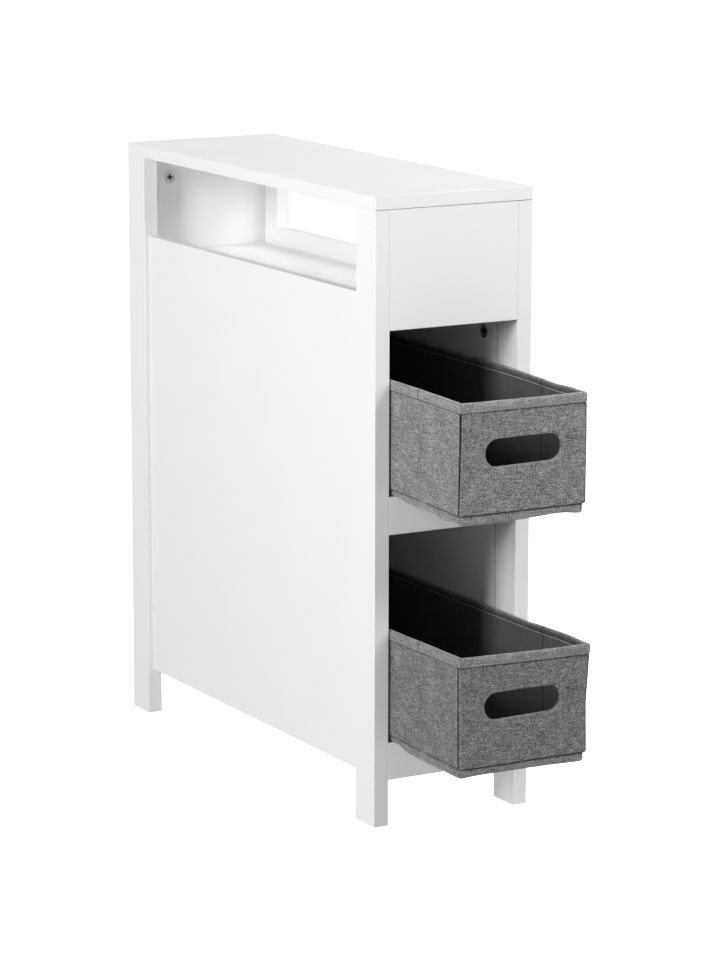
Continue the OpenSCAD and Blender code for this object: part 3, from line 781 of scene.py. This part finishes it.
def make_piece(bin_name, name, cloth, material, stands_for=(), thickness=CLOTH_THICKNESS,
               flat_below=HANGS):
    """Builds the object of one collected piece. It rides on its bin and replaces the CAD's plain cloth."""
    origin = bin_origin(bin_name)
    mesh = bpy.data.meshes.new(f"{bin_name}_{name}")
    mesh.from_pydata([origin + settle(BINS[bin_name], p, flat_below) * MM for p in cloth.points], [],
                     cloth.faces)
    weave = mesh.attributes.new("weave", "FLOAT_VECTOR", "CORNER")
    weave.data.foreach_set("vector", cloth.weave)
    painted_shade = mesh.attributes.new("painted_shade", "FLOAT", "POINT")
    painted_shade.data.foreach_set("value", cloth.painted_shades)
    mesh.materials.append(material)
    if cloth.thread_faces:
        mesh.materials.append(sewing_thread)
        for k in cloth.thread_faces:
            mesh.polygons[k].material_index = 1
    mesh.shade_smooth()
    work = bmesh.new()
    work.from_mesh(mesh)
    bmesh.ops.delete(work, geom=[v for v in work.verts if not v.link_faces], context="VERTS")
    bmesh.ops.remove_doubles(work, verts=work.verts, dist=0.004 * MM)
    work.to_mesh(mesh)
    work.free()
    piece = bpy.data.objects.new(f"{bin_name}_{name}", mesh)
    scene.collection.objects.link(piece)
    if thickness:
        solid = piece.modifiers.new("cloth_thickness", "SOLIDIFY")
        solid.thickness = thickness * MM
        solid.offset = -1
    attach(piece, bin_name)
    if stands_for:
        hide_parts(*(f"{bin_name}_{node}" for node in stands_for))
    print(f"{piece.name}: {len(mesh.polygons)} faces")
    return piece


# %% [markdown]
# ## Hand slot
#
# The slot is a long hole with round ends, and its edges are turned in over the board. A clean way to
# get a round hole in a square grid is to leave out a rectangle of the grid and fill it with rings that
# start on the rectangle and end on the hole. Each point of the rectangle is sent to the nearest point
# of the hole's outline, so the rings keep evenly spaced. The same function serves the cloth outside
# and the lining inside.

# %% Slot rings
SLOT_ROWS = spaced(45, 97, 4)          # heights of the grid's rows beside the slot


def slot_rings(cloth, border, bin_shape, steps, face_y, inside=False):
    """Rings from the grid's border to the slot's edge and on through the wall.
    steps are (distance from the edge, depth into the wall, painted shade)."""
    middle_x, middle_z, length, height = bin_shape["slot"]
    end_radius = height / 2
    straight = length / 2 - end_radius
    tilt = math.radians(bin_shape["tilt"])
    outline = []
    for k in border:
        x, _, z = cloth.points[k]
        across, up = x - middle_x, z - middle_z
        nearest = min(max(across, -straight), straight)
        away = Vector((across - nearest, up)).normalized()
        outline.append((nearest, away))
    before = list(border)
    for distance, depth, painted_shade in steps:
        ring = []
        for nearest, away in outline:
            flat = Vector((nearest, 0)) + away * (end_radius + distance)
            x = middle_x + flat.x * math.cos(tilt) - flat.y * math.sin(tilt)
            z = middle_z + flat.x * math.sin(tilt) + flat.y * math.cos(tilt)
            ring.append(cloth.point(x, face_y + depth, z, z + depth, painted_shade))
        for k in range(len(ring)):
            n = (k + 1) % len(ring)
            corners = [before[k], before[n], ring[n], ring[k]]
            cloth.face(corners[::-1] if inside else corners, 0)
        before = ring


def skin_with_gap(cloth, rings, first_row, inside=False):
    """Joins a wall's rings, and leaves out the slot's rectangle, whose rows begin at first_row. Returns
    the points round it, counterclockwise from outside."""
    first = FRONT_RUN[0] + 1 + len(NEAR_CORNER)
    columns = list(range(first, first + len(END_STEPS)))
    beside_slot = [k for k in range(LOOP) if k not in columns[:-1]]
    for j, (lower, upper) in enumerate(zip(rings, rings[1:])):
        in_slot_rows = first_row <= j < first_row + len(SLOT_ROWS) - 1
        cloth.skin(lower, upper, beside_slot if in_slot_rows else None, inside)
    low, *between_rows, high = rings[first_row:first_row + len(SLOT_ROWS)]
    return ([low[k] for k in columns] + [ring[columns[-1]] for ring in between_rows]
            + [high[k] for k in reversed(columns)] + [ring[columns[0]] for ring in reversed(between_rows)])


# %% [markdown]
# ## Walls
#
# The four walls are one lofted skin. At the bottom the cloth rolls in to the seam above the hem, and
# each corner has a seam where two panels' edges roll into a groove, proud of the wall by half a
# millimetre because the seam's layers lie inside. Under the rim band the cloth is drawn in by its
# stitching.

# %% Wall cloth
WALL_RADIUS = 1.4
ROLL = 0.7             # how far the rolled edges at a corner seam stand proud
GROOVE = 0.5           # depth of the groove between them, less than the cloth over the board
# (offset, painted shade, lift) at the fold of the long walls
WALL_FOLD = (-0.15, 0.1, 0.0)


def corner_seam(seam):
    """Offset and painted shade at a distance from a corner seam."""
    rolled = ROLL * math.exp(-((abs(seam) - 2.2) / 1.2) ** 2)
    groove = math.exp(-(seam / 0.8) ** 2)
    return rolled - GROOVE * groove, math.exp(-(seam / 1.3) ** 4)


# (offset, height, painted shade) of the rings at the foot and at the head of the wall
WALL_FOOT = [(-2.4, SEAM + 0.5, 1.0), (-1.5, SEAM + 0.15, 1.0), (-0.8, SEAM + 0.2, 1.0),
             (-0.35, SEAM + 0.6, 0.5), (-0.08, SEAM + 1.2, 0.05), (0.0, SEAM + 2.5, 0.0)]
WALL_HEAD = [(0.0, BAND_FOOT - 4.5, 0.0), (-0.05, BAND_FOOT - 2.4, 0.0), (-0.25, BAND_FOOT - 1.0, 0.25),
             (-0.45, BAND_FOOT - 0.2, 0.9), (-0.45, BAND_FOOT + 0.8, 1.0), (-0.3, BAND_FOOT + 3, 0.3),
             (-0.3, BAND_FOOT + 6, 0.0)]
SLOT_EDGE = [(8, 0, 0), (4, -0.08, 0), (2.2, -0.15, 0), (1.3, -0.08, 0), (0.7, 0.15, 0), (0.25, 0.55, 0),
             (0.05, 1.0, 0), (0, 1.8, 0.2), (0, 3.0, 0.4), (0.1, 4.2, 0.6)]


def sew_walls(bin_shape):
    cloth = Cloth()
    flat = (spaced(SEAM + 5, SLOT_ROWS[0] - 3.5, 4) + SLOT_ROWS
            + spaced(SLOT_ROWS[-1] + 3.5, BAND_FOOT - 8, 4))
    rows = WALL_FOOT + [(0.0, z, 0.0) for z in flat] + WALL_HEAD
    rings = [cloth.ring(out, WALL_RADIUS, z, painted_shade=dark, shape=corner_seam, fold=WALL_FOLD,
                        seam_back=read_table(bin_shape["corner"], z)) for out, z, dark in rows]
    border = skin_with_gap(cloth, rings, len(WALL_FOOT) + flat.index(SLOT_ROWS[0]))
    slot_rings(cloth, border, bin_shape, SLOT_EDGE, FRONT)
    return cloth


for bin_name, bin_shape in BINS.items():
    make_piece(bin_name, "walls", sew_walls(bin_shape), CLOTHS[bin_name][0], ["cover"])

# %% [markdown]
# ## Rim band
#
# A strip of the same cloth is folded over the rim, 10 mm down outside and 8 mm inside, and sewn through
# all the layers. The fold over the boards' edges is round, and the two lower edges are turned under, so they
# end in small rolls. The band is a closed profile carried round the plan. At the corners the strip is
# tucked, which leaves a small lump.

# %% Band over the rim
# (offset from the wall's face, height, painted shade, distance along the strip) of the band's outline; the
# painted shade lies in its turned edges and on its inner face
BAND = [(0.05, 1.3, 0.9, -1), (0.35, 0.45, 0.7, 0), (0.72, 0.1, 0.2, 0.5), (0.98, 0.35, 0.0, 1),
        (1.0, 1.0, 0.0, 1.6), (0.78, 1.9, 0.25, 2.5), (0.95, 3.0, 0.0, 3.6), (1.05, 5.0, 0.0, 5.6),
        (0.98, 7.4, 0.0, 8), (0.62, 9.1, 0.0, 9.8), (-0.2, 10.1, 0.0, 11), (-1.3, 10.5, 0.0, 12.2),
        (-2.5, 10.5, 0.0, 13.4), (-3.6, 10.1, 0.0, 14.6), (-4.4, 9.1, 0.3, 15.9), (-4.75, 7.4, 0.6, 17.6),
        (-4.85, 6.1, 0.65, 19), (-4.75, 4.9, 0.7, 20.2), (-4.6, 3.9, 0.7, 21.2), (-4.8, 3.0, 0.0, 22.1),
        (-4.78, 2.35, 0.0, 22.8), (-4.5, 2.1, 0.4, 23.1), (-4.1, 2.45, 0.7, 23.7), (-3.85, 3.3, 0.9, 24.6),
        (-3.85, 6.6, 1.0, 27), (-3.1, 8.4, 1.0, 28), (-1.9, 8.9, 1.0, 29), (-0.7, 8.4, 1.0, 30),
        (0.05, 6.6, 1.0, 31)]
BAND_RADIUS = 3.2
BAND_FOLD = (-0.3, 0.92, 0.6)


def corner_tuck(seam):
    """The lump of folded strip at a corner, with painted shade in its middle."""
    return 0.35 * math.exp(-(seam / 2.2) ** 2) - 0.3 * math.exp(-(seam / 0.4) ** 2), \
        0.5 * math.exp(-(seam / 0.35) ** 2)


def sew_band():
    cloth = Cloth()
    rings = [cloth.ring(out, max(0.6, BAND_RADIUS + out), BAND_FOOT + up, strip, dark,
                        corner_tuck if out > -1 and dark < 1 else None, BAND_FOLD)
             for out, up, dark, strip in BAND]
    for lower, upper in zip(rings, rings[1:] + rings[:1]):
        cloth.skin(lower, upper)
    return cloth


for bin_name in BINS:
    make_piece(bin_name, "rim_band", sew_band(), CLOTHS[bin_name][1], ["rim_binding"],
               thickness=0)

# %% [markdown]
# ## Base and front hem
#
# The base is a board in a cloth cover, and its sewn edge shows below the walls as a soft hem, set in by
# two millimetres. Behind the legs it lies flat on its shelf. In front it hangs lower than the shelf,
# which is a problem for a bin that slides: pushed home, the hem would cut into the rail. The real cloth
# is simply pressed up.

# %% Base cloth
BASE_OUT = (base_high.x / MM) - HALF                # the base is narrower than the walls
BASE_RADIUS = 3.5
# (inset, height, painted shade) of the rings at the base's edge and at the hem's edge
BASE_EDGE = [(-1.3, SEAM + 0.2, 1.0), (-0.6, SEAM, 0.9), (-0.15, SEAM - 0.6, 0.4), (0.0, SEAM - 1.4, 0.0),
             (-0.02, 3.8, 0.0), (-0.35, 2.2, 0.0), (-1.1, 0.9, 0.0), (-2.2, 0.2, 0.0)]
HEM_OUT = BASE_OUT + 0.35
HEM_RADIUS = 4.2
HEM_EDGE = [(-1.5, SEAM + 0.1, 1.0), (-0.7, SEAM - 0.1, 1.0), (-0.15, SEAM - 0.7, 0.4),
            (0.0, SEAM - 1.5, 0.1), (-0.1, SEAM - 2.2, 0.2), (-0.22, SEAM - 2.6, 0.5),
            (-0.08, SEAM - 3.0, 0.2), (0.05, SEAM - 3.8, 0.0), (-0.1, 2.6, 0.0), (-0.6, 1.5, 0.0),
            (-1.6, 0.5, 0.0), (-2.8, 0.08, 0.0)]


def sew_tray(edge, out, radius, bottom, columns=None, rows=None, sag=None):
    """A hem and the cloth under it, as one skin from the seam down and inwards."""
    cloth = Cloth()
    rings = []
    strip = 0.0
    for step, (inset, z, dark) in enumerate(edge + [(-radius, bottom, 0.0)]):
        if step:
            strip -= math.hypot(inset - edge[step - 1][0], z - edge[step - 1][1])
        rings.append(cloth.ring(out + inset, radius + inset, z, strip, dark))
    for lower, upper in zip(rings[1:], rings):
        cloth.skin(lower, upper, columns)
    cloth.floor(rings[-1], bottom, rows)
    if sag:
        cloth.points = [sag(*point) for point in cloth.points]
    return cloth


for bin_name in BINS:
    make_piece(bin_name, "base_cloth", sew_tray(BASE_EDGE, BASE_OUT, BASE_RADIUS, 0.05),
               CLOTHS[bin_name][1], ["base_cover"], thickness=0.4, flat_below=2 * SEAM)

# %% [markdown]
# ## Sewing thread
#
# The stitches are real little arches of thread, 2.7 mm long and 0.5 mm thick. They are larger than life
# by a third, because finer ones don't show in the render. Each dips into the cloth at both ends. They
# are set at even steps along the same plan as the cloth, with a slight seeded wander of the needle. The
# back wall's outer row is left out, since a bin pushed home lies against the back panel.

# %% Stitches
STITCH = 2.7           # mm, length of a stitch
STITCH_STEP = 3.5      # mm from one stitch to the next
THREAD = 0.3           # mm, half the thickness of the thread
ARCH = [(-1.0, -0.22, 0.55), (-0.72, 0.04, 0.9), (0.0, 0.16, 1.0), (0.72, 0.04, 0.9), (1.0, -0.22, 0.55)]
THREAD_SIDES = 6
INNER_ROW_OUT = -4.7
random.seed(20)


def add_stitch(cloth, x, y, z, nx, ny):
    """One arch of thread, along the plan and standing out along the normal."""
    wander = random.uniform(-0.12, 0.12)
    rings = []
    for along, lift, girth in ARCH:
        cx = x - ny * along * STITCH / 2 + nx * lift
        cy = y + nx * along * STITCH / 2 + ny * lift
        cz = z + wander * along
        ring = []
        for k in range(THREAD_SIDES):
            a = 2 * math.pi * k / THREAD_SIDES
            side, up = math.cos(a) * THREAD * girth, math.sin(a) * THREAD * girth
            ring.append(cloth.point(cx + nx * side, cy + ny * side, cz + up))
        rings.append(ring)
    for first, second in zip(rings, rings[1:]):
        for k in range(THREAD_SIDES):
            n = (k + 1) % THREAD_SIDES
            cloth.thread_faces.append(len(cloth.faces))
            cloth.face([first[k], second[k], second[n], first[n]], 0)
    for cap in (rings[0], rings[-1][::-1]):
        cloth.thread_faces.append(len(cloth.faces))
        cloth.face(cap, 0)


def stitch_row(cloth, out, radius, z, start=-math.inf, end=math.inf, facing=1):
    """Stitches round the plan where y lies between start and end, but not in the corner seams.
    facing is -1 inside the bin, where the arches stand out inwards."""
    loop = plan_loop(out, radius)
    walked, wanted = 0.0, 0.0
    for first, second in zip(loop, loop[1:] + loop[:1]):
        length = math.dist(first[:2], second[:2])
        while wanted < walked + length:
            share = (wanted - walked) / length
            x, y, nx, ny, seam = (a + (b - a) * share for a, b in zip(first, second))
            if abs(seam) > STITCH / 2 and start <= y <= end:
                add_stitch(cloth, x, y, z, nx * facing, ny * facing)
            wanted += STITCH_STEP
        walked += length


HEM_STITCH = SEAM - 2.6     # height of the row that holds the hem

for bin_name in BINS:
    row = Cloth()
    stitch_row(row, 0.9, BAND_RADIUS + 0.9, BAND_FOOT + 1.9, end=LENGTH - 4)
    stitch_row(row, INNER_ROW_OUT, 0.6, BAND_FOOT + 3.3, facing=-1)
    stitch_row(row, BASE_OUT + 0.05, BASE_RADIUS, HEM_STITCH, start=LEG + 4)
    row.thread_faces = []
    make_piece(bin_name, "stitches", row, sewing_thread, thickness=0)

# %% [markdown]
# The hanging hem is cut off behind the legs, where it has come up flush with the base. Its drop is
# added before the bin settles.

# %% Front hem
HEM_END = SIDE_STEPS.index(LEG + 5) + 1 + len(NEAR_CORNER)
HEM_COLUMNS = [(LOOP - HEM_END + k) % LOOP for k in range(HEM_END + RIGHT_RUN[HEM_END])]


def sew_front_hem(bin_shape):
    left_end, right_end = bin_shape["hem_front"][0][1], bin_shape["hem_front"][-1][1]

    def sag(x, y, z):
        """Lets the lower edge hang as the tables say, and bulges the left front corner."""
        away = max(0.0, 1 - max(y, 0) / LEG)
        left = read_table(bin_shape["hem_left"], y) - left_end
        right = right_end * (away ** 2 - 1)
        foot = read_table(bin_shape["hem_front"], x) + between((left, right), x)
        low = 1 - z / SEAM
        bulge = bin_shape["swell"] * math.exp(-(max(y, 0) / 34) ** 2) * max(0.0, -x / HALF) * min(1, 2 * low)
        return x - bulge, y, z + (foot * min(1, 5 * away) - between(bin_shape["seam"], x) * hang(y)) * low

    cloth = sew_tray(HEM_EDGE, HEM_OUT, HEM_RADIUS, 0.0, HEM_COLUMNS, HEM_END + 1, sag)
    row = Cloth()
    stitch_row(row, HEM_OUT - 0.2, HEM_RADIUS, HEM_STITCH, end=LEG + 4)
    first = len(cloth.points)
    for point in row.points:
        cloth.point(*sag(*point))
    for corners in row.faces:
        cloth.thread_faces.append(len(cloth.faces))
        cloth.face([first + k for k in corners], 0)
    return cloth


for bin_name, bin_shape in BINS.items():
    hem = make_piece(bin_name, "front_hem", sew_front_hem(bin_shape), CLOTHS[bin_name][1],
                     thickness=0.5)
    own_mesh(hem)

# %% [markdown]
# ## Lining
#
# The lining is a bag inside the bin: four walls and a floor, with soft rounded edges between them, and a
# sharp crease down each long wall at the fold, darkened with painted shade. Its faces look into the bin,
# so the rings are joined the other way round.

# %% Lining bag
LINING_OUT = -3.82
LINING_RADIUS = 2.6
# (offset, painted shade, lift) at the fold of the long walls
LINING_FOLD = (0.9, 1.0, 0.0)
LINING_FLOOR = 3.9
LINING_EDGE = [(-1.35, 0.12), (-0.65, 0.75), (-0.2, 1.7), (0.0, 3.2)]      # (offset, height) from the floor
LINING_SLOT = [(8, 0, 0), (4, 0, 0), (2.2, 0, 0.1), (1.2, -0.1, 0.3), (0.5, -0.35, 0.6), (0.2, -0.8, 1)]


def sew_lining(bin_shape):
    cloth = Cloth()
    heights = (spaced(LINING_FLOOR + 6, SLOT_ROWS[0] - 4, 5) + SLOT_ROWS
               + spaced(SLOT_ROWS[-1] + 4, BAND_FOOT - 2, 5) + [BAND_FOOT + 0.5, BAND_FOOT + 6])
    rows = ([(LINING_OUT - LINING_RADIUS, LINING_FLOOR)]
            + [(LINING_OUT + inset, LINING_FLOOR + up) for inset, up in LINING_EDGE]
            + [(LINING_OUT, z) for z in heights])
    rings = [cloth.ring(out, LINING_RADIUS + out - LINING_OUT, z, z + out - LINING_OUT, fold=LINING_FOLD)
             for out, z in rows]
    first_row = len(rows) - len(heights) + heights.index(SLOT_ROWS[0])
    border = skin_with_gap(cloth, rings, first_row, inside=True)
    cloth.floor(rings[0], LINING_FLOOR, inside=True)
    slot_rings(cloth, border, bin_shape, LINING_SLOT, FRONT - LINING_OUT, inside=True)
    return cloth


for bin_name, bin_shape in BINS.items():
    make_piece(bin_name, "inner_cloth", sew_lining(bin_shape), lining_felt, ["lining"],
               thickness=0.5, flat_below=LINING_FLOOR + 1)

# %% [markdown]
# ## Boards that give
#
# The three boards in front of the fold hang and lean with the cloth round them. A copy of each CAD board
# is cut into strips of 12 mm, and the cuts' points go through the same move as the cloth.

# %% Front boards
BOARD_STRIP = 12.0
FRONT_BOARDS = ["front_board", "left_front_board", "right_front_board"]


def flex_board(bin_name, node):
    """A copy of a CAD board, bent as the cloth round it."""
    origin = bin_origin(bin_name)
    work = bmesh.new()
    work.from_mesh(frame["nodes"][f"{bin_name}_{node}"].data)
    bmesh.ops.remove_doubles(work, verts=work.verts, dist=0.01 * MM)
    low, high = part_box(f"{bin_name}_{node}")
    for axis in range(3):
        for cut in spaced(low[axis], high[axis], BOARD_STRIP * MM)[1:-1]:
            plane = [Vector(), Vector()]
            plane[0][axis], plane[1][axis] = cut, 1
            bmesh.ops.bisect_plane(work, geom=[*work.verts, *work.edges, *work.faces],
                                   plane_co=plane[0], plane_no=plane[1])
    for v in work.verts:
        v.co = origin + settle(BINS[bin_name], (v.co - origin) / MM, HANGS) * MM
    mesh = bpy.data.meshes.new(f"{bin_name}_bent_{node}")
    work.to_mesh(mesh)
    work.free()
    mesh.materials.append(raw_board)
    piece = bpy.data.objects.new(mesh.name, mesh)
    scene.collection.objects.link(piece)
    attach(piece, bin_name)
    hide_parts(f"{bin_name}_{node}")


for bin_name in BINS:
    for node in FRONT_BOARDS:
        flex_board(bin_name, node)
print(len(FRONT_BOARDS) * len(BINS), "bent boards")
